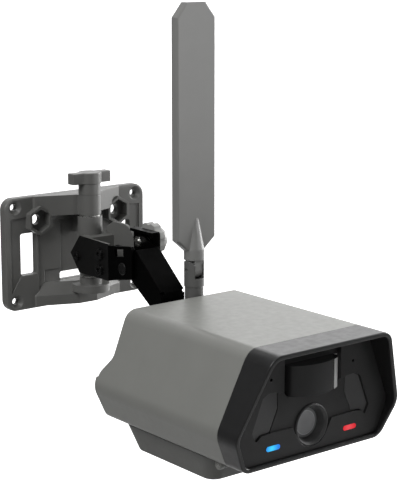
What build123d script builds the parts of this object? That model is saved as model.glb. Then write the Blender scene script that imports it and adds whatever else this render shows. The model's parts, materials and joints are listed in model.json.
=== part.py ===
from build123d import *
import os
from math import atan2, cos, degrees, hypot, radians, sin

# Trail camera with a paddle antenna, on a wall bracket that pans and tilts.
#
# Frame: origin at the centre of the wall plate's back face, +Y into the wall, +Z up, so the camera looks along -Y.
# Millimetres. Everything is drawn from one datum, the middle of the top edge of the camera's front rim:
# "depth" runs back from it towards the wall, "height" runs up from it, and X is the same in both frames.

os.makedirs("parts", exist_ok=True)

# ---- driving dimensions ----
wall_depth = 251.2        # front rim to wall
plate_mid = 13.8          # height of the wall plate's centre

body_top_half = 43.0      # half widths of the six-sided camera body
body_wide_half = 61.0
body_low_half = 51.0
body_wide_height = -45.7
body_bottom = -66.9
body_rear = 141.0
hood_rear = 130.0         # the top of the hood stops short of the rear
step_top = -27.0
step_low = -37.3
lip_depth = 138.5         # the rear cover's visible lip starts here
wall = 2.2
corner_radii = (9.0, 12.0, 8.0)
rim_slant = 0.23          # depth gained by the rim per unit of height lost
seam_depth = 21.0
seam_slant = 0.12
rim_width = 2.7
face_depth = 18.1         # the recessed middle of the face
panel_proud = 1.1         # the trim round it stands this far forwards
face_thick = 2.2
gap = 0.3                 # running gap between parts that move past each other
pin_gap = 0.05            # radial clearance of a pin in its hole

pir_half = 17.6           # motion sensor window: bowed front, flat sides, rounded between them
pir_front = 10.2
pir_bow_r = 32.0
pir_round = 4.0
pir_low, pir_high = -30.2, -12.9
notch_top = -6.0          # top of the recess the window stands in
lens_height = -49.8
lens_ring_r = 12.0
lens_glass_r = 8.8
glass_sink = 4.5          # from the middle of the face back to the lens glass
led_x, led_height = 28.6, -56.9
led_long, led_tall = 9.9, 2.9
moat = 0.45               # open line round the infrared windows
mic_x, mic_height = 30.3, -18.4

foot_top = (48.0, 46.0, 129.5)       # half width, front depth, rear depth
foot_low = (44.0, 50.5, 122.5)
foot_bottom = -82.6
hinge_depth, hinge_height = 42.5, -70.0
knuckle_r = 2.6
door_pin_r = 1.2
bay_front, bay_rear = 68.0, 119.0
latch_depth = 116.5
latch_height = -74.4

deck_height = -30.0
block_left, block_right, block_rear = -16.0, 26.0, 162.0

plate_w, plate_h, plate_t = 109.2, 73.6, 6.0
plate_front = wall_depth - plate_t
hole_x, hole_z = 47.0, 30.7
hole_r = 2.3
strap_x, strap_w, strap_h, strap_height = 37.0, 12.4, 27.6, 13.3
hex_x, hex_height = 30.5, 35.0
hex_pocket_r, hex_boss_r = 7.6, 9.6
hex_front, hex_floor = wall_depth - 10.7, wall_depth - 4.0
hex_hole_r = 3.3

pan_depth = 230.0
pan_bolt_r = 3.0
pan_bush_r = 4.0
bolt_head_r, bolt_head_tall = 5.4, 1.4
bolt_neck, bolt_neck_tall = -10.4, 1.6      # where the square neck starts
lug_r = 7.2
neck_r = 8.0
lug_low, lug_high = 37.6, 50.6
disc_r, disc_low, disc_high = 12.2, -12.8, -8.0
lower_boss_high = -3.5
ramp_low, ramp_high, band_bottom = -15.0, -7.3, -21.5
yoke_low, yoke_high = -2.5, 36.6
wing_low, wing_high = 58.2, 65.2

cheek_in, cheek_out = 9.0, 11.0
cheek_rear = 194.3
yoke_front = 194.5
left_top, right_top = 24.6, 33.5
tilt_depth, tilt_height = 179.0, 11.5
tilt_pin_r = 2.5
lock_depth, lock_height = 184.0, 26.0
lock_screw_r = 2.0
tilt_swing = 18.0
slot_half = lock_screw_r + 0.3
arm_half, sheet = 8.7, 2.0
tab_thick = 1.8
cheek_screws_at = [(203.3, 16.8), (203.3, 6.6)]
cheek_screw_r, cheek_head_r = 1.6, 3.7
cross_bolt_at = (229.1, 11.2)
foot_screws_at = [(0, 148.0), (0, 156.0)]

antenna_x, antenna_depth = 15.5, 141.0
antenna_pivot = 14.0
barrel_r = 6.3
fork_r = 6.2
collar_r = 5.8
paddle_half, paddle_tip_half = 14.7, 7.4
paddle_low, paddle_shoulder, paddle_top = 33.5, 167.0, 175.8
paddle_t = 5.4
root_high, root_long, root_taper = 27.0, 24.0, 10.3     # round root that tapers up the paddle


# ---- planes from the datum ----
def side(x=0.0):
    """Plane seen from +X: local x is depth, local y is height."""
    return Plane(origin=(x, -wall_depth, -plate_mid), x_dir=(0, 1, 0), z_dir=(1, 0, 0))


def across(depth):
    """Plane facing the front: local x is X, local y is height, and it extrudes forwards."""
    return Plane(origin=(0, depth - wall_depth, -plate_mid), x_dir=(1, 0, 0), z_dir=(0, -1, 0))


def level(height):
    """Plane facing up: local x is X, local y is depth."""
    return Plane(origin=(0, -wall_depth, height - plate_mid), x_dir=(1, 0, 0), z_dir=(0, 0, 1))


def rim_at(height):
    return -rim_slant * height


def seam_at(height):
    return seam_depth - seam_slant * height


# ---- shared outlines, drawn into the sketch that is open ----
def body_outline(inset=0.0):
    """The camera body's six-sided section, `inset` inside its outer faces."""
    half = ((body_top_half, 0.0), (body_wide_half, body_wide_height), (body_low_half, body_bottom))
    Polygon(*half, *[(-x, z) for x, z in reversed(half)], align=None)
    for (x, z), radius in zip(half, corner_radii):
        at_corner = vertices().filter_by(lambda v: abs(abs(v.X) - x) < 0.01 and abs(v.Y - z) < 0.01)
        fillet(at_corner, radius)
    if inset:
        offset(amount=-inset, mode=Mode.REPLACE)


def ir_outline(hand, grow=0.0):
    """One infrared window, on the side of the face that `hand` gives."""
    half = ((25.4, -26.8), (31.9, -26.2), (35.8, -28.2), (43.0, -45.8), (40.7, -50.9))
    half += ((37.5, -48.2), (30.6, -47.8), (25.0, -35.6))
    Polygon(*[(hand * x, z) for x, z in half], align=None)
    if grow:
        offset(amount=grow, mode=Mode.REPLACE)


def pir_outline(inset=0.0):
    """Plan of the motion sensor's window: a bowed front between flat sides."""
    with Locations((0, pir_front + pir_bow_r)):
        Circle(pir_bow_r - inset)
    with Locations((0, pir_front + 10)):
        Rectangle(2 * (pir_half - inset), 20, mode=Mode.INTERSECT)
    fillet(vertices().group_by(Axis.Y)[0], pir_round - inset)


def pir_pocket(grow=0.0):
    """Opening in the face that the motion sensor's window stands in."""
    half = ((17.6 + grow, -30.6 - grow), (21.0 + grow, -27.0 - grow), (21.0 + grow, notch_top + grow))
    Polygon(*half, *[(-x, z) for x, z in reversed(half)], align=None)


def finish(part, name):
    part.part.label = name
    export_step(part.part, f"parts/{name}.step")
    print(f"{name}: {part.part.volume:.0f} mm3")


def disc(plane, spots, radius, depth, mode=Mode.ADD):
    """Round solids or holes in the part that is open, square to `plane`."""
    with BuildSketch(plane) as round_outline:
        with Locations(*spots):
            Circle(radius)
    extrude(round_outline.sketch, amount=depth, mode=mode)


# ================= wall mount =================
def strap_slots():
    with Locations((-strap_x, strap_height), (strap_x, strap_height)):
        RectangleRounded(strap_w, strap_h, 1.6)
    with Locations((0, -4.6)):
        RectangleRounded(25.4, 5.0, 1.2)


with BuildPart() as wall_plate:
    with BuildSketch(across(wall_depth)):
        with Locations((0, plate_mid)):
            RectangleRounded(plate_w, plate_h, 7.5)
    extrude(amount=plate_t)
    fillet(faces().sort_by(Axis.Y)[0].edges(), 1.4)
    # shallow field in the middle of the front, and a deeper band behind the pan bolt
    with BuildSketch(across(plate_front)):
        with Locations((0, 9.2)):
            RectangleRounded(60.0, 48.6, 6.0)
    extrude(amount=-1.6, mode=Mode.SUBTRACT)
    with BuildSketch(across(plate_front + 1.6)):
        with Locations((0, 13.5)):
            Rectangle(24.0, 39.0)
    extrude(amount=-1.4, mode=Mode.SUBTRACT)
    # shallow side fields, whose slanted lower ends make the rib lines below the strap slots
    for hand in (-1, 1):
        with BuildSketch(across(plate_front)):
            Polygon(
                *[(hand * x, z) for x, z in ((33.0, 38.0), (50.5, 37.0), (50.5, -11.5), (43.4, -0.8), (33.0, -0.8))],
                align=None,
            )
        extrude(amount=-0.8, mode=Mode.SUBTRACT)
    with BuildSketch(across(wall_depth)):
        strap_slots()
    extrude(amount=plate_t, mode=Mode.SUBTRACT)
    # raised hexagonal seats for the two nut pockets
    with BuildSketch(across(wall_depth)):
        with Locations((-hex_x, hex_height), (hex_x, hex_height)):
            RegularPolygon(hex_boss_r, 6, rotation=30)
    extrude(amount=wall_depth - hex_front)
    # bands above and below the middle, which bow out to carry the pan bolt's lug and disc
    bow = ((34.0, plate_front + 0.5), (33.0, plate_front - 1.4), (7.0, 233.2))
    bow_top = ((26.0, plate_front + 2.2), (25.0, plate_front + 1.8), (7.0, plate_front - 6.8))
    with BuildSketch(level(lug_low)):
        Polygon(*bow, *[(-x, depth) for x, depth in reversed(bow)], align=None)
    extrude(amount=lug_high - lug_low)
    with BuildSketch(level(ramp_low)) as ramp_foot:
        Polygon(*bow, *[(-x, depth) for x, depth in reversed(bow)], align=None)
    extrude(amount=band_bottom - ramp_low)
    with BuildSketch(level(ramp_high)) as ramp_head:
        Polygon(*bow_top, *[(-x, depth) for x, depth in reversed(bow_top)], align=None)
    loft([ramp_foot.sketch, ramp_head.sketch])
    # corner screw holes with countersinks
    with BuildSketch(across(wall_depth)):
        with Locations((0, plate_mid)):
            with GridLocations(2 * hole_x, 2 * hole_z, 2, 2):
                Circle(hole_r)
        with Locations((-hex_x, hex_height), (hex_x, hex_height)):
            Circle(hex_hole_r)
    extrude(amount=plate_t + 2, mode=Mode.SUBTRACT)
    with BuildSketch(across(plate_front)):
        with Locations((0, plate_mid)):
            with GridLocations(2 * hole_x, 2 * hole_z, 2, 2):
                Circle(4.6)
    extrude(amount=-2.3, taper=45, mode=Mode.SUBTRACT)
    with BuildSketch(across(hex_floor)):
        with Locations((-hex_x, hex_height), (hex_x, hex_height)):
            RegularPolygon(hex_pocket_r, 6, rotation=30)
    extrude(amount=hex_floor - hex_front + 4, mode=Mode.SUBTRACT)
    # upper lug and lower disc that carry the pan bolt
    with BuildSketch(level(lug_low)):
        with Locations((0, pan_depth)):
            Circle(lug_r)
        with Locations((0, (pan_depth + plate_front + 1) / 2)):
            Rectangle(2 * lug_r, plate_front + 1 - pan_depth)
    extrude(amount=lug_high - lug_low)
    with BuildSketch(level(disc_low)):
        with Locations((0, pan_depth)):
            Circle(disc_r)
    extrude(amount=disc_high - disc_low)
    with BuildSketch(level(disc_high)):
        with Locations((0, pan_depth)):
            Circle(lug_r)
    extrude(amount=lower_boss_high - disc_high)
    # gusset under the lug
    with BuildSketch(side()):
        Polygon(
            (plate_front + 3, lug_low + 1), (plate_front + 3, 24.0),
            (plate_front - 1.8, 24.0), (plate_front - 4.7, lug_low + 1),
            align=None,
        )
    extrude(amount=1.5, both=True)
    # hole for the pan bolt, and the seat its square neck and head are moulded into
    with BuildSketch(level(bolt_neck)):
        with Locations((0, pan_depth)):
            Circle(pan_bolt_r + pin_gap)
    extrude(amount=lug_high - bolt_neck, mode=Mode.SUBTRACT)
    with BuildSketch(level(bolt_neck)):
        with Locations((0, pan_depth)):
            Rectangle(2 * pan_bolt_r, 2 * pan_bolt_r)
    extrude(amount=bolt_neck_tall, mode=Mode.SUBTRACT)
    with BuildSketch(level(bolt_neck)):
        with Locations((0, pan_depth)):
            Circle(bolt_head_r)
    extrude(amount=-bolt_head_tall, mode=Mode.SUBTRACT)
finish(wall_plate, "wall_plate")

with BuildPart() as pan_bolt:
    with BuildSketch(level(bolt_neck)):
        with Locations((0, pan_depth)):
            Rectangle(2 * pan_bolt_r, 2 * pan_bolt_r)
    extrude(amount=bolt_neck_tall)
    with BuildSketch(level(bolt_neck)):
        with Locations((0, pan_depth)):
            Circle(pan_bolt_r)
    extrude(amount=wing_high - 4 - bolt_neck)
    with BuildSketch(level(bolt_neck)):
        with Locations((0, pan_depth)):
            Circle(bolt_head_r)
    extrude(amount=-bolt_head_tall)
    chamfer(faces().sort_by(Axis.Z)[-1].edges(), 0.6)
finish(pan_bolt, "pan_bolt")

with BuildPart() as pan_washers:
    for height, thick in ((yoke_high + 0.05, 0.9), (lower_boss_high + 0.05, 0.9)):
        with BuildSketch(level(height)):
            with Locations((0, pan_depth)):
                Circle(6.6)
                Circle(pan_bolt_r + pin_gap, mode=Mode.SUBTRACT)
        extrude(amount=thick)
finish(pan_washers, "pan_washers")

# ================= pan knob =================
with BuildPart() as pan_knob:
    with BuildSketch(level(lug_high + 0.1)):
        with Locations((0, pan_depth)):
            Circle(lug_r)
    extrude(amount=wing_high - lug_high - 0.1)
    with BuildSketch(level(wing_low)):
        with Locations((0, pan_depth)):
            Rectangle(29.4, 7.4)
            Circle(7.6)
        fillet(vertices(), 1.3)
    extrude(amount=wing_high - wing_low)
    fillet(faces().sort_by(Axis.Z)[-1].edges(), 0.6)
    with BuildSketch(level(lug_high + 0.1)):
        with Locations((0, pan_depth)):
            Circle(pan_bolt_r + 1.6)
    extrude(amount=wing_high - lug_high - 3.6, mode=Mode.SUBTRACT)
finish(pan_knob, "pan_knob")

with BuildPart() as pan_knob_insert:
    with BuildSketch(level(lug_high + 0.6)):
        with Locations((0, pan_depth)):
            Circle(pan_bolt_r + 1.6)
            Circle(pan_bolt_r + pin_gap, mode=Mode.SUBTRACT)
    extrude(amount=wing_high - lug_high - 4.4)
finish(pan_knob_insert, "pan_knob_insert")

# ================= pan yoke =================
with BuildPart() as pan_yoke:
    # block round the pan bolt, running forwards as two side walls with a floor between them
    with BuildSketch(side()):
        Polygon(
            (yoke_front, 1.0), (227.0, 0.8), (236.8, 12.6), (226.0, left_top + 0.6), (yoke_front, left_top),
            align=None,
        )
    extrude(amount=cheek_out, both=True)
    with BuildSketch(level(4.0)):
        with Locations((0, (yoke_front + 216) / 2 - 2)):
            Rectangle(2 * cheek_in, 216 - yoke_front + 4)
    extrude(amount=40.0, mode=Mode.SUBTRACT)
    # taller right ear with a rounded front
    with BuildSketch(side(cheek_in)):
        Polygon(
            (yoke_front, 4.0), (226.0, 4.0), (224.0, 29.0), (217.0, right_top), (yoke_front, right_top),
            align=None,
        )
        fillet(vertices().sort_by(Axis.X)[:2].sort_by(Axis.Y)[-1:], 11.0)
    extrude(amount=cheek_out - cheek_in)
    # neck into the block, and a boss below
    with BuildSketch(level(yoke_high)):
        with Locations((0, pan_depth)):
            Circle(neck_r)
    extrude(amount=-14.0)
    with BuildSketch(level(yoke_low)):
        with Locations((0, pan_depth)):
            Circle(lug_r)
    extrude(amount=5.0)
    # diagonal ribs in the open middle
    for hand in (-1, 1):
        with BuildSketch(level(4.0)):
            Polygon(
                (hand * 7.0, 203.0), (hand * 7.0, 205.4), (hand * 1.0, 217.0), (hand * -1.0, 217.0),
                align=None,
            )
        extrude(amount=15.0)
    # bores: pan bush, cross bolt and the screws that hold the cheeks
    with BuildSketch(level(yoke_low)):
        with Locations((0, pan_depth)):
            Circle(pan_bush_r)
    extrude(amount=yoke_high - yoke_low, mode=Mode.SUBTRACT)
    disc(side(-cheek_out), [cross_bolt_at], 1.6, 5.0, Mode.SUBTRACT)
    for hand in (-1, 1):
        disc(side(hand * cheek_out), cheek_screws_at, cheek_screw_r, -hand * 2.0, Mode.SUBTRACT)
        disc(side(hand * cheek_out), cheek_screws_at, cheek_head_r + 0.1, -hand * 0.8, Mode.SUBTRACT)
finish(pan_yoke, "pan_yoke")

with BuildPart() as pan_bush:
    with BuildSketch(level(yoke_low)):
        with Locations((0, pan_depth)):
            Circle(pan_bush_r)
            Circle(pan_bolt_r + pin_gap, mode=Mode.SUBTRACT)
    extrude(amount=yoke_high - yoke_low)
finish(pan_bush, "pan_bush")

with BuildPart() as cross_bolt:
    with BuildSketch(side(-cheek_out)):
        with Locations(cross_bolt_at):
            Circle(1.6)
    extrude(amount=4.6)
    with BuildSketch(side(-cheek_out)):
        with Locations(cross_bolt_at):
            Circle(2.9)
    extrude(amount=-1.6)
    with BuildSketch(side(-cheek_out - 1.6)):
        with Locations(cross_bolt_at):
            RegularPolygon(1.5, 6)
    extrude(amount=1.2, mode=Mode.SUBTRACT)
finish(cross_bolt, "cross_bolt")


def cheek_sheet(hand, top_front, top_rear):
    """Flat steel side with a joggled tab that lies inside the yoke's wall."""
    with BuildSketch(side(hand * cheek_in)) as plate_outline:
        Polygon((cheek_rear, 1.4), (cheek_rear, top_rear), (169.2, top_front), (169.2, 6.4), align=None)
        fillet(vertices().sort_by(Axis.X)[:2], 1.5)
    extrude(plate_outline.sketch, amount=hand * (cheek_out - cheek_in))
    with BuildSketch(side(hand * cheek_in)) as tab_outline:
        Polygon((191.5, 4.2), (212.0, 4.2), (212.0, 19.0), (191.5, 19.0), align=None)
    extrude(tab_outline.sketch, amount=-hand * tab_thick)
    disc(side(hand * cheek_out), [(tilt_depth, tilt_height)], tilt_pin_r, -hand * 5, Mode.SUBTRACT)
    disc(side(hand * cheek_in), cheek_screws_at, cheek_screw_r, -hand * tab_thick, Mode.SUBTRACT)


with BuildPart() as left_cheek:
    cheek_sheet(-1, 27.0, 23.6)
    with BuildSketch(side(-cheek_out)):
        with Locations(Location((182.5, 20.9), -9)):
            Rectangle(9.6, 4.6)
    extrude(amount=5, mode=Mode.SUBTRACT)
finish(left_cheek, "left_cheek")

lock_r = hypot(lock_depth - tilt_depth, lock_height - tilt_height)
lock_angle = degrees(atan2(lock_height - tilt_height, lock_depth - tilt_depth))
with BuildPart() as right_cheek:
    cheek_sheet(1, right_top, right_top)
    with BuildSketch(level(right_top)):
        with Locations(((cheek_out + 5.0) / 2, 181.5)):
            Rectangle(cheek_out - 5.0, 23.0)
    extrude(amount=-1.8)
    # arc slot that the lock screw travels in
    with BuildSketch(side(cheek_out)):
        with Locations((tilt_depth, tilt_height)):
            Circle(lock_r + slot_half)
            Circle(lock_r - slot_half, mode=Mode.SUBTRACT)
            ends = [radians(lock_angle + swing) for swing in (-tilt_swing - 1, 0, tilt_swing + 1)]
            Polygon((0, 0), *[(60 * cos(a), 60 * sin(a)) for a in ends], align=None, mode=Mode.INTERSECT)
        for a in (ends[0], ends[-1]):
            with Locations((tilt_depth + lock_r * cos(a), tilt_height + lock_r * sin(a))):
                Circle(slot_half)
    extrude(amount=3, both=True, mode=Mode.SUBTRACT)
finish(right_cheek, "right_cheek")

with BuildPart() as cheek_screws:
    for hand in (-1, 1):
        disc(side(hand * (cheek_in - tab_thick)), cheek_screws_at, cheek_screw_r, hand * 4.6)
        disc(side(hand * (cheek_out - 0.8)), cheek_screws_at, cheek_head_r, hand * 2.6)
        for depth, height in cheek_screws_at:
            with BuildSketch(side(hand * cheek_out)):
                with Locations((depth, height)):
                    with PolarLocations(cheek_head_r + 0.2, 6):
                        Circle(0.8)
            extrude(amount=hand * 2.0, mode=Mode.SUBTRACT)
        with BuildSketch(side(hand * (cheek_out + 1.8))):
            with Locations(*cheek_screws_at):
                RegularPolygon(1.8, 6)
        extrude(amount=-hand * 1.6, mode=Mode.SUBTRACT)
finish(cheek_screws, "cheek_screws")

with BuildPart() as tilt_pin:
    disc(side(), [(tilt_depth, tilt_height)], tilt_pin_r, cheek_out)
    disc(side(), [(tilt_depth, tilt_height)], tilt_pin_r, -cheek_out)
    for hand in (-1, 1):
        disc(side(hand * cheek_out), [(tilt_depth, tilt_height)], 3.8, hand * 0.8)
    fillet(edges().filter_by(GeomType.CIRCLE).group_by(Axis.X)[0], 0.5)
finish(tilt_pin, "tilt_pin")

# ================= tilting arm and its lock =================
web_top, web_knee, web_foot = (168.0, 24.7), (142.0, 2.3), (142.0, deck_height)
foot_rear = 160.5
with BuildPart() as tilt_arm:
    for hand in (-1, 1):
        with BuildSketch(side(hand * arm_half)):
            Polygon(
                web_top, web_knee, web_foot, (154.0, deck_height), (154.0, -7.8), (174.6, 5.9), (183.6, 16.8),
                align=None,
            )
            with Locations((tilt_depth, tilt_height)):
                Circle(7.0)
            if hand > 0:
                Polygon(web_top, (182.2, 29.9), (187.9, 24.2), (185.7, 13.6), align=None)
                with Locations((lock_depth, lock_height)):
                    Circle(4.2)
        extrude(amount=-hand * sheet)
    with BuildSketch(side()):
        Polygon(web_top, web_knee, web_foot, (144.0, deck_height), (144.0, 1.4), (169.3, 23.2), align=None)
    extrude(amount=arm_half, both=True)
    with BuildSketch(level(deck_height)):
        with Locations((0, (web_foot[0] + foot_rear) / 2)):
            RectangleRounded(2 * arm_half, foot_rear - web_foot[0], 1.5)
    extrude(amount=sheet)
    # bend relief at the knee, pivot and lock holes, foot screw holes
    for hand in (-1, 1):
        disc(side(hand * arm_half), [(web_knee[0] + 0.9, web_knee[1] - 0.6)], 1.1, -hand * sheet, Mode.SUBTRACT)
        disc(side(hand * arm_half), [(tilt_depth, tilt_height)], tilt_pin_r + pin_gap, -hand * sheet, Mode.SUBTRACT)
    disc(side(arm_half), [(lock_depth, lock_height)], lock_screw_r + pin_gap, -sheet, Mode.SUBTRACT)
    disc(level(deck_height), foot_screws_at, 2.0, sheet, Mode.SUBTRACT)
finish(tilt_arm, "tilt_arm")

with BuildPart() as arm_foot_screws:
    disc(level(deck_height - 9), foot_screws_at, 2.0, 9 + sheet)
    disc(level(deck_height + sheet), foot_screws_at, 3.5, 2.6)
    with BuildSketch(level(deck_height + sheet + 2.6)):
        with Locations(*foot_screws_at):
            RegularPolygon(1.8, 6)
    extrude(amount=-1.6, mode=Mode.SUBTRACT)
finish(arm_foot_screws, "arm_foot_screws")

with BuildPart() as lock_nut:
    with BuildSketch(side(arm_half - sheet)):
        with Locations((lock_depth, lock_height)):
            RegularPolygon(3.6, 6)
            Circle(lock_screw_r + pin_gap, mode=Mode.SUBTRACT)
    extrude(amount=-2.4)
finish(lock_nut, "lock_nut")

with BuildPart() as lock_screw:
    disc(side(arm_half - sheet - 3.2), [(lock_depth, lock_height)], lock_screw_r, 15.4)
finish(lock_screw, "lock_screw")

with BuildPart() as tilt_lock_knob:
    disc(side(cheek_out + 0.1), [(lock_depth, lock_height)], 5.0, 1.6)
    with BuildSketch(side(cheek_out + 1.7)):
        with Locations((lock_depth, lock_height)):
            Circle(11.0)
            with PolarLocations(13.2, 8):
                Circle(3.4, mode=Mode.SUBTRACT)
    extrude(amount=5.6)
    with BuildSketch(side(cheek_out + 7.3)):
        with Locations((lock_depth, lock_height)):
            Circle(8.6)
    extrude(amount=4.4, taper=20)
    fillet(faces().sort_by(Axis.X)[-1].edges(), 0.8)
    disc(side(cheek_out), [(lock_depth, lock_height)], lock_screw_r, 8.1, Mode.SUBTRACT)
finish(tilt_lock_knob, "tilt_lock_knob")

# ================= camera body =================
shell_side = ((seam_at(5), 5), (hood_rear, 5), (hood_rear, step_top), (lip_depth, step_low))
shell_side += ((lip_depth, -72), (seam_at(-72), -72))


def stepped_side(shift):
    """Side outline of the body behind the seam, with the rear step; `shift` moves the rear."""
    Polygon(*[(y + shift if y > 100 else y, z) for y, z in shell_side], align=None)
    step = vertices().filter_by(lambda v: step_low - 1 < v.Y < step_top + 1)
    fillet(step, 7.0)


opening_half, opening_front, opening_rear = 45.0, 47.6, 121.0
with BuildPart() as hood_shell:
    with BuildSketch(across(body_rear)):
        body_outline()
    extrude(amount=body_rear)
    with BuildSketch(side()):
        stepped_side(-0.15)
    extrude(amount=80, both=True, mode=Mode.INTERSECT)
    with BuildSketch(across(body_rear + 1)):
        body_outline(inset=wall)
    extrude(amount=body_rear + 2, mode=Mode.SUBTRACT)
    with BuildSketch(level(body_bottom - 1)):
        with Locations((0, (opening_front + opening_rear) / 2)):
            RectangleRounded(2 * opening_half, opening_rear - opening_front, 5.0)
    extrude(amount=wall + 2, mode=Mode.SUBTRACT)
    # pairs of knuckles that hold the battery door's hinge pins
    for hand in (-1, 1):
        for inner, outer in ((33.0, 36.0), (43.3, 46.0)):
            with BuildSketch(side(hand * inner)):
                with Locations((hinge_depth, hinge_height)):
                    Circle(knuckle_r)
                with Locations((hinge_depth, (hinge_height + body_bottom) / 2)):
                    Rectangle(2 * knuckle_r, body_bottom - hinge_height + 1.0)
            extrude(amount=hand * (outer - inner))
        disc(side(hand * 33.0), [(hinge_depth, hinge_height)], door_pin_r, hand * 13.0, Mode.SUBTRACT)
finish(hood_shell, "hood_shell")

with BuildPart() as rear_cover:
    # stepped wall that closes the hood from inside
    with BuildSketch(across(body_rear + 5)):
        body_outline(inset=wall + 0.1)
    extrude(amount=40)
    with BuildSketch(side()):
        stepped_side(0)
    extrude(amount=80, both=True, mode=Mode.INTERSECT)
    with BuildSketch(side()):
        stepped_side(-4.0)
    extrude(amount=80, both=True, mode=Mode.SUBTRACT)
    # lip that shows round the lower rear
    with BuildSketch(across(body_rear)):
        body_outline()
        with Locations((0, -20.0)):
            Rectangle(140, 40.6, mode=Mode.SUBTRACT)
    extrude(amount=body_rear - lip_depth)
    chamfer(faces().sort_by(Axis.Y)[-1].edges().filter_by(lambda e: e.center().Z < -60), 1.0)
    # pedestal that carries the arm's foot and the antenna
    with BuildSketch(level(deck_height)):
        with Locations(((block_left + block_right) / 2, (126.5 + block_rear) / 2)):
            Rectangle(block_right - block_left, block_rear - 126.5)
        fillet(vertices().sort_by(Axis.Y)[-2:], 4.0)
    extrude(amount=-26.0)
    disc(level(deck_height), foot_screws_at, 2.0, -9.0, Mode.SUBTRACT)
    disc(level(deck_height), [(antenna_x, antenna_depth)], 3.4, -8.0, Mode.SUBTRACT)
finish(rear_cover, "rear_cover")

with BuildPart() as rear_gasket:
    with BuildSketch(across(134.3)):
        body_outline(inset=wall + 0.1)
        with Locations((0, -20.0)):
            Rectangle(140, 42.0, mode=Mode.SUBTRACT)
    extrude(amount=1.4)
    with BuildSketch(across(134.3)):
        body_outline(inset=wall + 2.3)
    extrude(amount=1.4, mode=Mode.SUBTRACT)
finish(rear_gasket, "rear_gasket")

rear_screws_at = [(-44.0, -45.0), (44.0, -45.0), (-40.0, -60.0), (40.0, -60.0)]
with BuildPart() as rear_cover_screws:
    disc(across(body_rear), rear_screws_at, 2.8, -1.6)
    with BuildSketch(across(body_rear + 1.6)):
        with Locations(*rear_screws_at):
            RegularPolygon(1.5, 6)
    extrude(amount=1.2, mode=Mode.SUBTRACT)
finish(rear_cover_screws, "rear_cover_screws")

with BuildPart() as front_bezel:
    with BuildSketch(across(40)):
        body_outline()
    extrude(amount=50)
    with BuildSketch(side()):
        Polygon(
            (rim_at(5), 5), (seam_at(5) - 0.1, 5), (seam_at(-72) - 0.1, -72), (rim_at(-72), -72),
            align=None,
        )
    extrude(amount=80, both=True, mode=Mode.INTERSECT)
    # spigot that slides inside the hood
    with BuildSketch(across(36)):
        body_outline(inset=wall + 0.15)
    extrude(amount=18)
    with BuildSketch(across(37)):
        body_outline(inset=wall + 2.4)
    extrude(amount=37 - face_depth - face_thick, mode=Mode.SUBTRACT)
    with BuildSketch(across(face_depth + face_thick)):
        body_outline(inset=rim_width)
    extrude(amount=40, mode=Mode.SUBTRACT)
    rim = faces().sort_by(Axis.Y)[0]
    fillet(rim.edges(), 0.7)
finish(front_bezel, "front_bezel")

with BuildPart() as bezel_gasket:
    with BuildSketch(across(37.5)):
        body_outline(inset=wall + 0.15)
    extrude(amount=1.3)
    with BuildSketch(across(37.5)):
        body_outline(inset=wall + 2.0)
    extrude(amount=1.3, mode=Mode.SUBTRACT)
finish(bezel_gasket, "bezel_gasket")

with BuildPart() as face_panel:
    with BuildSketch(across(face_depth + face_thick)):
        body_outline(inset=rim_width + 0.1)
    extrude(amount=face_thick)
    for hand in (-1, 1):
        with BuildSketch(across(face_depth)):
            ir_outline(hand, grow=moat)
        extrude(amount=-1.2, mode=Mode.SUBTRACT)
        with BuildSketch(across(face_depth)):
            ir_outline(hand, grow=-1.6)
        extrude(amount=-face_thick, mode=Mode.SUBTRACT)
    with BuildSketch(across(face_depth)):
        pir_pocket()
        with Locations((-led_x, led_height), (led_x, led_height)):
            SlotOverall(led_long, led_tall)
    extrude(amount=-face_thick, mode=Mode.SUBTRACT)
    disc(across(face_depth), [(0, lens_height)], lens_ring_r - 0.9, -face_thick, Mode.SUBTRACT)
    disc(across(face_depth), [(-mic_x, mic_height), (mic_x, mic_height)], 0.9, -face_thick, Mode.SUBTRACT)
finish(face_panel, "face_panel")

# raised trim that goes round the windows, lens and middle, and carries the two lights
with BuildPart() as face_trim:
    with BuildSketch(across(face_depth)):
        body_outline(inset=rim_width + 0.15)
        middle = ((12.2, -53.2), (14.7, -48.5), (31.0, -48.1), (25.2, -35.6), (25.3, -27.0), (21.0, -27.0))
        middle += ((21.0, notch_top),)
        Polygon(*middle, *[(-x, z) for x, z in reversed(middle)], align=None, mode=Mode.SUBTRACT)
        with Locations((0, lens_height)):
            Circle(lens_ring_r + 0.15, mode=Mode.SUBTRACT)
        with Locations((-led_x, led_height), (led_x, led_height)):
            SlotOverall(led_long, led_tall, mode=Mode.SUBTRACT)
        with Locations((-mic_x, mic_height), (mic_x, mic_height)):
            Circle(0.9, mode=Mode.SUBTRACT)
    extrude(amount=panel_proud)
    for hand in (-1, 1):
        with BuildSketch(across(face_depth)) as window_hole:
            ir_outline(hand, grow=moat)
        extrude(window_hole.sketch, amount=panel_proud, mode=Mode.SUBTRACT)
finish(face_trim, "face_trim")

pir_back = face_depth + face_thick
with BuildPart() as pir_window:
    with BuildSketch(level(pir_low)):
        pir_outline()
        with Locations((0, pir_back + 10)):
            Rectangle(60, 20, mode=Mode.SUBTRACT)
    extrude(amount=pir_high - pir_low)
    # flange that clamps behind the face
    with BuildSketch(across(pir_back + 1.2)):
        pir_pocket(grow=1.1)
    extrude(amount=1.2)
    with BuildSketch(level(pir_low + 1.4)):
        pir_outline(inset=1.4)
    extrude(amount=pir_high - pir_low - 2.8, mode=Mode.SUBTRACT)
finish(pir_window, "pir_window")

pir_middle = (pir_low + pir_high) / 2
with BuildPart() as pir_sensor:
    disc(across(25.5), [(0, pir_middle)], 4.5, 4.0)
    disc(across(25.5), [(0, pir_middle)], 5.2, 0.8)
finish(pir_sensor, "pir_sensor")

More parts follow.
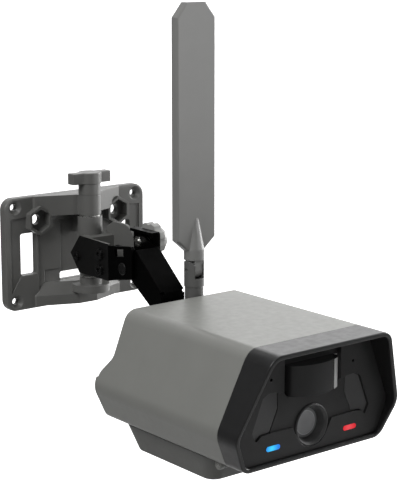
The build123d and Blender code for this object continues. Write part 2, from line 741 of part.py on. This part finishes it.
with BuildPart() as lens_ring:
    with BuildSketch(Plane(
        origin=(0, face_depth - wall_depth, lens_height - plate_mid), x_dir=(0, 1, 0), z_dir=(1, 0, 0)
    )):
        Polygon(
            (0, lens_ring_r), (-0.7, lens_ring_r), (-1.0, lens_ring_r - 0.4), (-1.0, lens_ring_r - 0.9),
            (-0.5, lens_ring_r - 1.3), (0.2, lens_ring_r - 1.9), (glass_sink - 0.2, lens_glass_r + 0.3),
            (glass_sink - 0.2, lens_glass_r + 0.1), (glass_sink + 1.1, lens_glass_r + 0.1),
            (glass_sink + 1.1, lens_glass_r - 1.0), (glass_sink + 1.6, lens_glass_r - 1.0),
            (glass_sink + 1.6, lens_ring_r - 1.0), (0, lens_ring_r - 1.0),
        )
    revolve(axis=Axis((0, 0, lens_height - plate_mid), (0, 1, 0)))
finish(lens_ring, "lens_ring")

barrel_long = 34.0 - face_depth - glass_sink - 1.8
with BuildPart() as lens_barrel:
    disc(across(34.0), [(0, lens_height)], 7.2, barrel_long)
    disc(across(36.0), [(0, lens_height)], 9.0, 3.0)
    disc(across(34.0), [(0, lens_height)], 5.0, barrel_long, Mode.SUBTRACT)
finish(lens_barrel, "lens_barrel")

with BuildPart() as lens_glass:
    disc(across(face_depth + glass_sink + 1.1), [(0, lens_height)], lens_glass_r, 1.1)
finish(lens_glass, "lens_glass")

with BuildPart() as lens_elements:
    for depth in (27.4, 30.2, 33.0):
        disc(across(depth), [(0, lens_height)], 4.9, 1.8)
finish(lens_elements, "lens_elements")

with BuildPart() as sensor_board:
    with BuildSketch(across(37.8)):
        with Locations((0, lens_height)):
            Rectangle(26, 22)
    extrude(amount=1.6)
finish(sensor_board, "sensor_board")

for hand, name in ((-1, "ir_window_left"), (1, "ir_window_right")):
    with BuildPart() as ir_window:
        with BuildSketch(across(face_depth + 1.2)):
            ir_outline(hand)
        extrude(amount=1.1)
    finish(ir_window, name)

led_spots = []
for hand in (-1, 1):
    for row in range(4):
        led_spots += [(hand * (x + 0.53 * row), -30.5 - 3.6 * row) for x in (30, 35)]
with BuildPart() as ir_led_boards:
    for hand in (-1, 1):
        with BuildSketch(across(24.0)):
            with Locations((hand * 34.0, -37.0)):
                Rectangle(17, 22)
        extrude(amount=1.2)
finish(ir_led_boards, "ir_led_boards")

with BuildPart() as ir_leds:
    disc(across(22.8), led_spots, 1.2, 2.4)
finish(ir_leds, "ir_leds")

for hand, name in ((-1, "blue_light_window"), (1, "red_light_window")):
    with BuildPart() as light_window:
        with BuildSketch(across(face_depth + face_thick + 1.4)):
            with Locations((hand * led_x, led_height)):
                SlotOverall(led_long - 0.1, led_tall - 0.1)
        extrude(amount=face_thick + 1.4 + panel_proud + 0.15)
    finish(light_window, name)

with BuildPart() as mic_membranes:
    disc(across(face_depth + face_thick + 0.5), [(-mic_x, mic_height), (mic_x, mic_height)], 2.2, 0.5)
finish(mic_membranes, "mic_membranes")

with BuildPart() as main_board:
    with BuildSketch(level(-14.0)):
        with Locations((0, 82.0)):
            Rectangle(66, 84)
    extrude(amount=1.6)
finish(main_board, "main_board")

with BuildPart() as board_chips:
    for x, depth, wide, deep, tall in ((-20, 55, 14, 14, 1.6), (16, 60, 10, 12, 1.4), (-8, 78, 8, 6, 1.2), (0, 48, 9, 4, 6)):
        with BuildSketch(level(-12.4)):
            with Locations((x, depth)):
                Rectangle(wide, deep)
        extrude(amount=tall)
finish(board_chips, "board_chips")

with BuildPart() as cellular_module:
    with BuildSketch(level(-12.4)):
        with Locations((14, 100)):
            RectangleRounded(30, 30, 1)
    extrude(amount=2.6)
finish(cellular_module, "cellular_module")

with BuildPart() as memory_card:
    with BuildSketch(level(-16.4)):
        with Locations((-24, 60)):
            RectangleRounded(11, 15, 0.8)
    extrude(amount=1.0)
finish(memory_card, "memory_card")

# bay that hangs below the board, open at the bottom, and holds the battery
bay_top, bay_low, bay_half = -24.0, -64.4, 42.0
with BuildPart() as battery_bay:
    with BuildSketch(level(bay_low)):
        with Locations((0, (bay_front + bay_rear) / 2)):
            Rectangle(2 * bay_half, bay_rear - bay_front)
    extrude(amount=bay_top - bay_low)
    with BuildSketch(level(bay_low)):
        with Locations((0, (bay_front + bay_rear) / 2)):
            Rectangle(2 * bay_half - 4, bay_rear - bay_front - 4)
    extrude(amount=bay_top - bay_low - 2, mode=Mode.SUBTRACT)
    with BuildSketch(level(bay_top)):
        with Locations(*[(x, y) for x in (-28, 28) for y in (76, 112)]):
            Circle(2.5)
    extrude(amount=-14.0 - bay_top)
    # shelf in front of the bay, with the holes for the two buttons
    with BuildSketch(level(-62.0)):
        with Locations((0, (bay_front + 52.0) / 2)):
            Rectangle(76, bay_front - 52.0 + 1)
    extrude(amount=1.6)
    with BuildSketch(level(-62.0)):
        with Locations((-26.0, 59.0), (-10.0, 59.0)):
            Circle(2.6)
    extrude(amount=1.6, mode=Mode.SUBTRACT)
finish(battery_bay, "battery_bay")

with BuildPart() as battery_pack:
    with BuildSketch(level(bay_low + 1.0)):
        with Locations((0, (bay_front + bay_rear) / 2)):
            RectangleRounded(2 * bay_half - 7, bay_rear - bay_front - 7, 6)
    extrude(amount=bay_top - bay_low - 6)
finish(battery_pack, "battery_pack")

with BuildPart() as battery_contacts:
    for x in (-12.0, 0.0, 12.0):
        with BuildSketch(level(bay_top - 5.0)):
            with Locations((x, 93.5)):
                Rectangle(4, 10)
        extrude(amount=3.0)
finish(battery_contacts, "battery_contacts")

# ================= buttons behind the battery door =================
for x, name in ((-26.0, "power_button"), (-10.0, "pairing_button")):
    with BuildPart() as button:
        disc(level(-63.6), [(x, 59.0)], 2.5, 6.0)
        disc(level(-60.3), [(x, 59.0)], 3.6, 1.2)
        fillet(faces().sort_by(Axis.Z)[0].edges(), 0.5)
    finish(button, name)

# ================= battery door =================
def foot_section(height, inset, radius):
    """Rounded rectangle of the tapered foot at `height`."""
    share = (height - body_bottom) / (foot_bottom - body_bottom)
    half, front, rear = [top + (low - top) * share for top, low in zip(foot_top, foot_low)]
    with Locations((0, (front + rear) / 2)):
        RectangleRounded(2 * (half - inset), rear - front - 2 * inset, radius)


door_top = body_bottom - gap
with BuildPart() as battery_door:
    for height in (door_top, foot_bottom):
        with BuildSketch(level(height)):
            foot_section(height, 0, 8.0)
    loft()
    fillet(faces().sort_by(Axis.Z)[0].edges(), 2.0)
    with BuildSketch(level(door_top + 0.01)):
        foot_section(door_top, 2.4, 6.0)
    with BuildSketch(level(foot_bottom + 2.4)):
        foot_section(foot_bottom + 2.4, 2.4, 6.0)
    loft(mode=Mode.SUBTRACT)
    # knuckle on each front corner, between the hood's pair
    for hand in (-1, 1):
        with BuildSketch(side(hand * 36.2)):
            with Locations((hinge_depth, hinge_height)):
                Circle(knuckle_r - 0.2)
            with Locations((hinge_depth + 3.2, hinge_height)):
                Rectangle(6.4, 2 * knuckle_r - 0.4)
        extrude(amount=hand * 6.9)
        disc(side(hand * 33.0), [(hinge_depth, hinge_height)], door_pin_r + pin_gap, hand * 13.0, Mode.SUBTRACT)
    # slot for the latch button in the rear wall
    with BuildSketch(across(latch_depth + 2)):
        with Locations((0, latch_height)):
            RectangleRounded(18.6, 7.0, 1.5)
    extrude(amount=-14.0, mode=Mode.SUBTRACT)
finish(battery_door, "battery_door")

with BuildPart() as door_seal:
    with BuildSketch(level(door_top - 1.6)):
        foot_section(door_top - 1.6, 2.5, 5.9)
        foot_section(door_top - 1.6, 4.1, 4.5)
    extrude(amount=1.4)
    with BuildSketch(level(door_top - 1.6)):
        foot_section(door_top - 1.6, 4.1, 4.5)
    extrude(amount=1.4, mode=Mode.SUBTRACT)
finish(door_seal, "door_seal")

with BuildPart() as hinge_pins:
    for hand in (-1, 1):
        disc(side(hand * 33.0), [(hinge_depth, hinge_height)], door_pin_r, hand * 13.0)
finish(hinge_pins, "hinge_pins")

with BuildPart() as door_latch:
    with BuildSketch(across(latch_depth)):
        with Locations((0, latch_height)):
            RectangleRounded(22.0, 8.8, 1.5)
    extrude(amount=-2.0)
    with BuildSketch(across(latch_depth)):
        with Locations((0, latch_height)):
            RectangleRounded(18.0, 6.4, 1.2)
    extrude(amount=-11.4)
    fillet(faces().sort_by(Axis.Y)[-1].edges(), 0.8)
finish(door_latch, "door_latch")

with BuildPart() as latch_spring:
    disc(across(latch_depth - 0.1), [(0, latch_height)], 2.4, 8.0)
    disc(across(latch_depth - 0.1), [(0, latch_height)], 1.6, 8.0, Mode.SUBTRACT)
    disc(across(latch_depth - 8.1), [(0, latch_height)], 2.4, 1.0)
finish(latch_spring, "latch_spring")

with BuildPart() as spring_post:
    with BuildSketch(level(foot_bottom + 2.4)):
        with Locations((0, latch_depth - 10.3)):
            Rectangle(8, 2)
    extrude(amount=9.0)
finish(spring_post, "spring_post")

# ================= antenna =================
with BuildPart() as antenna_socket:
    disc(level(deck_height - 7.0), [(antenna_x, antenna_depth)], 3.4, 7.0)
    with BuildSketch(level(deck_height)):
        with Locations((antenna_x, antenna_depth)):
            RegularPolygon(5.4, 6)
    extrude(amount=2.0)
    disc(level(deck_height + 2.0), [(antenna_x, antenna_depth)], 3.0, 9.0)
finish(antenna_socket, "antenna_socket")

with BuildPart() as antenna_base:
    disc(level(deck_height + 2.3), [(antenna_x, antenna_depth)], collar_r, 3.8 - deck_height - 2.3)
    disc(level(deck_height + 2.3), [(antenna_x, antenna_depth)], 3.0 + pin_gap, 9.0, Mode.SUBTRACT)
    disc(level(4.0), [(antenna_x, antenna_depth)], fork_r, antenna_pivot + fork_r - 4.0)
    disc(level(3.8), [(antenna_x, antenna_depth)], fork_r - 0.6, 0.2)
    with BuildSketch(side(antenna_x)):
        with Locations((antenna_depth, (deck_height + antenna_pivot) / 2)):
            Rectangle(30, antenna_pivot - deck_height)
        with Locations((antenna_depth, antenna_pivot)):
            Circle(fork_r)
    extrude(amount=10, both=True, mode=Mode.INTERSECT)
    with BuildSketch(across(antenna_depth)):
        with Locations((antenna_x, antenna_pivot + 1.8)):
            Rectangle(6.6, 13.6)
    extrude(amount=10, both=True, mode=Mode.SUBTRACT)
    disc(side(antenna_x - 6.6), [(antenna_depth, antenna_pivot)], 1.25, 13.2, Mode.SUBTRACT)
finish(antenna_base, "antenna_base")

with BuildPart() as antenna_pin:
    disc(side(antenna_x - 5.3), [(antenna_depth, antenna_pivot)], 1.25, 10.6)
finish(antenna_pin, "antenna_pin")

blade_low = antenna_pivot + fork_r + 0.4
with BuildPart() as antenna_blade:
    # paddle
    with BuildSketch(across(antenna_depth)):
        half = ((5.6, blade_low), (5.6, 25.8), (paddle_half, paddle_low), (paddle_half, paddle_shoulder))
        half += ((paddle_tip_half, paddle_top),)
        Polygon(
            *[(antenna_x + x, z) for x, z in half], *[(antenna_x - x, z) for x, z in reversed(half)],
            align=None,
        )
    extrude(amount=paddle_t / 2, both=True)
    fillet(edges().filter_by(lambda e: e.center().Y < antenna_depth - wall_depth - paddle_t / 2 + 0.01), 1.4)
    # round root that tapers into both faces of the paddle
    disc(level(blade_low), [(antenna_x, antenna_depth)], barrel_r, root_high - blade_low)
    with BuildSketch(level(root_high)):
        with Locations((antenna_x, antenna_depth)):
            Circle(barrel_r)
    extrude(amount=root_long, taper=root_taper)
    # tongue that turns on the pin in the base's fork
    with BuildSketch(side(antenna_x)):
        with Locations((antenna_depth, antenna_pivot)):
            Circle(4.6)
        with Locations((antenna_depth, antenna_pivot + 3.4)):
            Rectangle(9.2, 6.8)
    extrude(amount=3.0, both=True)
    disc(side(antenna_x - 4), [(antenna_depth, antenna_pivot)], 1.25 + pin_gap, 8.0, Mode.SUBTRACT)
finish(antenna_blade, "antenna_blade")
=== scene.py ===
import json
from math import cos, radians, sin

import bpy
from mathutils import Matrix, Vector

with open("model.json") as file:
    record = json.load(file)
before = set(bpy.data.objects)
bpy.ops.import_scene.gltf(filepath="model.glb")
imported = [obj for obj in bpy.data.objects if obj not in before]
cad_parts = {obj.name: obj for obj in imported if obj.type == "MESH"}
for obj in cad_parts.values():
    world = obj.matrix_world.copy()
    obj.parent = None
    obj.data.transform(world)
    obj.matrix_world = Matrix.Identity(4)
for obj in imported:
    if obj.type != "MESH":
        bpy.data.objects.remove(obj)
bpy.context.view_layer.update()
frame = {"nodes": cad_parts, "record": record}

mm = 0.001

# The CAD's datum is the middle of the top edge of the camera's front rim.
# Depth runs back to the wall and height runs up, both in millimetres.
WALL_DEPTH, PLATE_MID = 251.2, 13.8
LENS_HEIGHT, LENS_GLASS_R = -49.8, 8.8
LAMP_HEIGHT, LAMP_DEPTH = -56.9, 17.0
HOOD_EDGE = 21.35                  # depth where the hood meets the bezel
REFLECTION_START, REFLECTION_TOP = 11.6, -13.3   # painted reflection: pale strip on the motion-sensor window
YOKE_SHADE_EDGE = 10.6                 # half width past which the yoke's sides are painted near black as shade


def at(x, depth, height):
    """Point in metres from the CAD datum's millimetres."""
    return Vector((x, depth - WALL_DEPTH, height - PLATE_MID)) * mm


# ---------------- materials ----------------
def new_material(name):
    material = bpy.data.materials.new(name)
    material.use_nodes = True
    tree = material.node_tree
    shader = tree.nodes["Principled BSDF"]
    return material, tree, shader


def node(tree, kind, **inputs):
    made = tree.nodes.new(kind)
    for name, value in inputs.items():
        made.inputs[name.replace("_", " ")].default_value = value
    return made


def noise(tree, scale, detail=3.0):
    """Noise in object space, which is the frame's own metres."""
    place = tree.nodes.new("ShaderNodeTexCoord")
    made = node(tree, "ShaderNodeTexNoise", Scale=scale, Detail=detail, Roughness=0.55)
    tree.links.new(place.outputs["Object"], made.inputs["Vector"])
    return made.outputs["Fac"]


def spread(tree, value, low, high):
    """Maps a 0 to 1 value onto low to high."""
    made = node(tree, "ShaderNodeMapRange", From_Min=0.3, From_Max=0.7, To_Min=low, To_Max=high)
    tree.links.new(value, made.inputs["Value"])
    return made.outputs["Result"]


def edge_bump(tree, shader, height, strength, distance, soft_edge):
    """Fine surface relief on top of a slightly rounded edge."""
    bevel = node(tree, "ShaderNodeBevel", Radius=soft_edge)
    bevel.samples = 6
    bump = node(tree, "ShaderNodeBump", Strength=strength, Distance=distance)
    tree.links.new(bevel.outputs["Normal"], bump.inputs["Normal"])
    tree.links.new(height, bump.inputs["Height"])
    tree.links.new(bump.outputs["Normal"], shader.inputs["Normal"])


def tinted(tree, shader, color, amount, scale):
    """Base colour with a slight cloudy change of tone."""
    mix = tree.nodes.new("ShaderNodeMix")
    mix.data_type = "RGBA"
    mix.inputs["A"].default_value = (*[c * (1 - amount) for c in color], 1)
    mix.inputs["B"].default_value = (*[c * (1 + amount) for c in color], 1)
    tree.links.new(noise(tree, scale), mix.inputs["Factor"])
    tree.links.new(mix.outputs["Result"], shader.inputs["Base Color"])
    return mix


def moulded(name, color, roughness, grain=2600.0, relief=0.25, specular=0.5):
    """Injection-moulded plastic with a fine spark-eroded grain."""
    material, tree, shader = new_material(name)
    tinted(tree, shader, color, 0.05, 60.0)
    sheen = spread(tree, noise(tree, 220.0), roughness - 0.05, roughness + 0.05)
    tree.links.new(sheen, shader.inputs["Roughness"])
    shader.inputs["Specular IOR Level"].default_value = specular
    edge_bump(tree, shader, noise(tree, grain, detail=2.0), relief, 0.06 * mm, 0.4 * mm)
    return material


def metal(name, color, roughness, metallic=1.0):
    """Plated, turned or powder-coated metal."""
    material, tree, shader = new_material(name)
    tinted(tree, shader, color, 0.08, 140.0)
    shader.inputs["Metallic"].default_value = metallic
    grain = noise(tree, 900.0)
    tree.links.new(spread(tree, grain, roughness - 0.06, roughness + 0.06), shader.inputs["Roughness"])
    edge_bump(tree, shader, grain, 0.15, 0.05 * mm, 0.3 * mm)
    return material


def polished(name, color, roughness, coat=0.0):
    """Tinted window or glossy plastic."""
    material, tree, shader = new_material(name)
    tinted(tree, shader, color, 0.04, 90.0)
    tree.links.new(spread(tree, noise(tree, 300.0), roughness, roughness + 0.03), shader.inputs["Roughness"])
    shader.inputs["Coat Weight"].default_value = coat
    return material


def lamp_window(name, color, hot_color, hot_spot, glow):
    """Light window lit from behind by one diode: brightest where the diode sits, dimmer away from it."""
    material, tree, shader = new_material(name)
    tinted(tree, shader, color, 0.15, 400.0)
    place = tree.nodes.new("ShaderNodeTexCoord")
    reach = tree.nodes.new("ShaderNodeVectorMath")
    reach.operation = "DISTANCE"
    reach.inputs[1].default_value = hot_spot
    tree.links.new(place.outputs["Object"], reach.inputs[0])
    fall = node(tree, "ShaderNodeMapRange", From_Min=0.4 * mm, From_Max=4.5 * mm, To_Min=1.0, To_Max=0.0)
    tree.links.new(reach.outputs["Value"], fall.inputs["Value"])
    mix = tree.nodes.new("ShaderNodeMix")
    mix.data_type = "RGBA"
    mix.inputs["A"].default_value = (*color, 1)
    mix.inputs["B"].default_value = (*hot_color, 1)
    tree.links.new(fall.outputs["Result"], mix.inputs["Factor"])
    tree.links.new(mix.outputs["Result"], shader.inputs["Emission Color"])
    shader.inputs["Emission Strength"].default_value = glow
    shader.inputs["Roughness"].default_value = 0.25
    shader.inputs["Coat Weight"].default_value = 0.5
    return material


def beyond(tree, axis, edge, signed=True):
    """1 where the frame's own coordinate on that axis is past an edge in metres, else 0."""
    place = tree.nodes.new("ShaderNodeTexCoord")
    split = tree.nodes.new("ShaderNodeSeparateXYZ")
    tree.links.new(place.outputs["Object"], split.inputs["Vector"])
    source = split.outputs[axis]
    if not signed:
        size = tree.nodes.new("ShaderNodeMath")
        size.operation = "ABSOLUTE"
        tree.links.new(source, size.inputs[0])
        source = size.outputs["Value"]
    past = tree.nodes.new("ShaderNodeMath")
    past.operation = "GREATER_THAN"
    past.inputs[1].default_value = edge
    tree.links.new(source, past.inputs[0])
    return past.outputs["Value"]


def flipped(tree, factor):
    """1 where the factor is 0, and 0 where it is 1."""
    rest = tree.nodes.new("ShaderNodeMath")
    rest.operation = "SUBTRACT"
    rest.inputs[0].default_value = 1.0
    tree.links.new(factor, rest.inputs[1])
    return rest.outputs["Value"]


def two_tone(tree, shader, factor, color):
    """Where factor is 1 the base colour is this one instead."""
    under = shader.inputs["Base Color"].links[0].from_socket
    mix = tree.nodes.new("ShaderNodeMix")
    mix.data_type = "RGBA"
    mix.inputs["B"].default_value = (*color, 1)
    tree.links.new(factor, mix.inputs["Factor"])
    tree.links.new(under, mix.inputs["A"])
    tree.links.new(mix.outputs["Result"], shader.inputs["Base Color"])


def ringed_glass(name):
    """Coated lens: painted reflection in rings of tone out from its axis, with painted shade darkening
    towards its rim.
    """
    material, tree, shader = new_material(name)
    place = tree.nodes.new("ShaderNodeTexCoord")
    shift = node(tree, "ShaderNodeVectorMath")
    shift.operation = "SUBTRACT"
    shift.inputs[1].default_value = at(0, 0, LENS_HEIGHT)
    flat = node(tree, "ShaderNodeVectorMath")
    flat.operation = "MULTIPLY"
    flat.inputs[1].default_value = (1, 0, 1)
    reach = node(tree, "ShaderNodeVectorMath")
    reach.operation = "LENGTH"
    scale = node(tree, "ShaderNodeMath")
    scale.operation = "DIVIDE"
    scale.inputs[1].default_value = LENS_GLASS_R * mm
    ramp = tree.nodes.new("ShaderNodeValToRGB")
    ramp.color_ramp.interpolation = "LINEAR"
    # painted reflection: grey in the middle with one bright ring; painted shade darkens it to the rim
    bands = (
        (0.0, 0.55), (0.3, 0.58), (0.7, 0.66), (0.735, 0.6), (0.75, 0.9), (0.785, 0.9), (0.8, 0.5),
        (0.83, 0.42), (0.92, 0.34), (0.97, 0.18), (1.0, 0.06),
    )
    stops = ramp.color_ramp.elements
    while len(stops) < len(bands):
        stops.new(1.0)
    for stop, (where, tone) in zip(stops, bands):
        stop.position = where
        stop.color = (tone, tone * 1.01, tone * 1.03, 1)
    tree.links.new(place.outputs["Object"], shift.inputs[0])
    tree.links.new(shift.outputs["Vector"], flat.inputs[0])
    tree.links.new(flat.outputs["Vector"], reach.inputs[0])
    tree.links.new(reach.outputs["Value"], scale.inputs[0])
    tree.links.new(scale.outputs["Value"], ramp.inputs["Fac"])
    tree.links.new(ramp.outputs["Color"], shader.inputs["Base Color"])
    tree.links.new(spread(tree, noise(tree, 300.0), 0.06, 0.1), shader.inputs["Roughness"])
    shader.inputs["Coat Weight"].default_value = 1.0
    return material


looks = {
    "shell_grey": moulded("shell_grey", (0.215, 0.217, 0.204), 0.4, relief=0.1),
    "mount_grey": moulded("mount_grey", (0.118, 0.118, 0.113), 0.42, relief=0.15),
    "antenna_grey": moulded("antenna_grey", (0.2, 0.2, 0.195), 0.4, relief=0.1),
    "face_black": moulded("face_black", (0.014, 0.014, 0.0145), 0.34, relief=0.05),
    "window_black": polished("window_black", (0.01, 0.01, 0.011), 0.14, coat=0.3),
    "steel_black": moulded("steel_black", (0.001, 0.001, 0.001), 0.34, relief=0.1, specular=0.04),
    "screw_black": metal("screw_black", (0.015, 0.015, 0.015), 0.3, metallic=0.6),
    "steel_bright": metal("steel_bright", (0.62, 0.62, 0.6), 0.28),
    "brass": metal("brass", (0.72, 0.53, 0.22), 0.25),
    "bush_white": moulded("bush_white", (0.7, 0.7, 0.66), 0.4),
    "clear_glass": ringed_glass("clear_glass"),
    "light_blue": lamp_window(
        "light_blue", (0.02, 0.2, 0.75), (0.06, 0.75, 1.0), at(-29.6, LAMP_DEPTH, LAMP_HEIGHT), 0.85,
    ),
    "light_red": lamp_window(
        "light_red", (0.72, 0.02, 0.03), (0.95, 0.1, 0.12), at(28.0, LAMP_DEPTH, LAMP_HEIGHT), 0.7,
    ),
    "seal_rubber": moulded("seal_rubber", (0.02, 0.02, 0.02), 0.7, grain=1500.0),
    "board_green": polished("board_green", (0.02, 0.13, 0.05), 0.25, coat=0.4),
    "chip_black": moulded("chip_black", (0.02, 0.02, 0.02), 0.5),
    "shield_tin": metal("shield_tin", (0.66, 0.66, 0.65), 0.35),
    "inner_black": moulded("inner_black", (0.03, 0.03, 0.03), 0.5),
    "battery_wrap": moulded("battery_wrap", (0.06, 0.065, 0.08), 0.4),
}
infrared = polished("infrared_window", (0.13, 0.13, 0.131), 0.28)
sensor_cover = polished("sensor_cover", (0.055, 0.055, 0.056), 0.2, coat=0.4)
# painted reflection: a thin pale strip down the cover's right-hand end stands in for a softbox's highlight
cover_tree = sensor_cover.node_tree
painted_reflection = cover_tree.nodes.new("ShaderNodeMath")
painted_reflection.operation = "MULTIPLY"
cover_tree.links.new(beyond(cover_tree, "X", REFLECTION_START * mm), painted_reflection.inputs[0])
cover_tree.links.new(flipped(cover_tree, beyond(cover_tree, "Z", at(0, 0, REFLECTION_TOP).z)), painted_reflection.inputs[1])
two_tone(cover_tree, cover_tree.nodes["Principled BSDF"], painted_reflection.outputs["Value"], (0.85, 0.85, 0.84))
# the hood's front edge is in the shade of the seam before the bezel
hood_look = moulded("hood_grey", (0.215, 0.217, 0.204), 0.4, relief=0.05)
hood_tree = hood_look.node_tree
seam = flipped(hood_tree, beyond(hood_tree, "Y", at(0, HOOD_EDGE, 0).y))
two_tone(hood_tree, hood_tree.nodes["Principled BSDF"], seam, (0.05, 0.05, 0.048))
# painted shade: the mount's cast block is painted near black on its sides, where the cheeks bolted to them
# shade it
yoke_look = moulded("yoke_grey", (0.125, 0.125, 0.12), 0.42, relief=0.3, specular=0.3)
yoke_tree = yoke_look.node_tree
painted_shade = beyond(yoke_tree, "X", YOKE_SHADE_EDGE * mm, signed=False)
two_tone(yoke_tree, yoke_tree.nodes["Principled BSDF"], painted_shade, (0.004, 0.004, 0.004))
special = {
    "ir_window_left": infrared,
    "ir_window_right": infrared,
    "pir_window": sensor_cover,
    "pan_yoke": yoke_look,
    "hood_shell": hood_look,
    # painted light: the knob is a lighter grey than the mount, for the strong light from the right
    "tilt_lock_knob": moulded("lock_grey_painted_light", (0.3, 0.3, 0.29), 0.4, relief=0.2),
    "face_panel": moulded("face_soft", (0.05, 0.05, 0.0505), 0.4, relief=0.05),
    "face_trim": moulded("trim_soft", (0.05, 0.05, 0.0505), 0.38, relief=0.05),
    "lens_ring": moulded("ring_soft", (0.1, 0.1, 0.101), 0.36, relief=0.05),
    # painted shade: the battery door is a darker grey than the shell, for the shade under the body
    "battery_door": moulded("door_grey_painted_shade", (0.115, 0.116, 0.11), 0.45, relief=0.1),
    # painted shade: the antenna's base is a darker grey than the antenna, for the shade at the hood's rear
    # top
    "antenna_base": moulded("fork_grey_painted_shade", (0.11, 0.11, 0.107), 0.42, relief=0.1),
}
for part in frame["record"]["subparts"]:
    mesh = frame["nodes"][part["node"]].data
    mesh.materials.clear()
    mesh.materials.append(special.get(part["node"], looks[part["material_slot"]]))

# ---------------- camera ----------------
azimuth, elevation = radians(-38.67), radians(11.43)
aim = at(-17.4, 94.1, 44.0)
distance = 0.85
backwards = Vector((sin(azimuth) * cos(elevation), -cos(azimuth) * cos(elevation), sin(elevation)))
lens = bpy.data.cameras.new("camera")
lens.lens = 111.85
lens.sensor_width = 36.0
lens.clip_start = 0.05
view = bpy.data.objects.new("camera", lens)
view.location = aim + backwards * distance
view.rotation_euler = backwards.to_track_quat("Z", "Y").to_euler()
bpy.context.collection.objects.link(view)
bpy.context.scene.camera = view

# ---------------- floor, backdrop and light ----------------
def sheet(name, corners, color, glow):
    """Flat stage surface through four corners."""
    mesh = bpy.data.meshes.new(name)
    mesh.from_pydata(corners, [], [(0, 1, 2, 3)])
    made = bpy.data.objects.new(name, mesh)
    bpy.context.collection.objects.link(made)
    look, tree, shader = new_material(name)
    shader.inputs["Base Color"].default_value = (*color, 1)
    shader.inputs["Roughness"].default_value = 0.9
    shader.inputs["Emission Color"].default_value = (1, 1, 1, 1)
    shader.inputs["Emission Strength"].default_value = glow
    mesh.materials.append(look)
    return made


def softbox(name, place, target, width, height, power):
    """Rectangular light that faces a target."""
    data = bpy.data.lights.new(name, "AREA")
    data.shape = "RECTANGLE"
    data.size, data.size_y = width, height
    data.energy = power
    lamp = bpy.data.objects.new(name, data)
    lamp.location = place
    lamp.rotation_euler = (Vector(place) - Vector(target)).to_track_quat("Z", "Y").to_euler()
    lamp.visible_camera = False
    bpy.context.collection.objects.link(lamp)
    return lamp


floor_drop, floor_reach = 0.9, 6.0
sheet(
    "floor",
    [(x * floor_reach, y * floor_reach, -floor_drop) for x, y in ((-1, -1), (1, -1), (1, 1), (-1, 1))],
    (0.5, 0.5, 0.5), 0.0,
)
forward = Vector((-sin(azimuth), cos(azimuth), 0))
across = Vector((cos(azimuth), sin(azimuth), 0))
wall_far, wall_half, wall_low, wall_top = 1.3, 1.15, -1.0, 1.1
foot_left = aim + forward * wall_far - across * wall_half
foot_right = aim + forward * wall_far + across * wall_half
sheet(
    "backdrop",
    [(foot_left.x, foot_left.y, wall_low), (foot_right.x, foot_right.y, wall_low),
     (foot_right.x, foot_right.y, wall_top), (foot_left.x, foot_left.y, wall_top)],
    (0.8, 0.8, 0.8), 1.15,
)
middle = at(0, 90, 0)
softbox("right_light", (1.7, -0.35, 0.35), middle, 1.0, 0.9, 40)
softbox("top_light", (0.25, 0.15, 1.5), middle, 1.4, 1.4, 9)
softbox("left_light", (-0.72, -0.3, 0.62), at(-50, 60, -20), 0.5, 0.5, 6.5)

spot = bpy.data.lights.new("antenna_light", "SPOT")
spot.energy = 42
spot.spot_size, spot.spot_blend = radians(10.5), 1.0
spot.shadow_soft_size = 0.12
antenna_light = bpy.data.objects.new("antenna_light", spot)
antenna_light.location = (0.5, -1.15, 0.2)
antenna_light.rotation_euler = (antenna_light.location - at(15, 137, 135)).to_track_quat("Z", "Y").to_euler()
bpy.context.collection.objects.link(antenna_light)

world = bpy.data.worlds.new("world")
world.use_nodes = True
world.node_tree.nodes["Background"].inputs["Color"].default_value = (1, 1, 1, 1)
world.node_tree.nodes["Background"].inputs["Strength"].default_value = 0.13
bpy.context.scene.world = world
bpy.context.scene.view_settings.view_transform = "Standard"
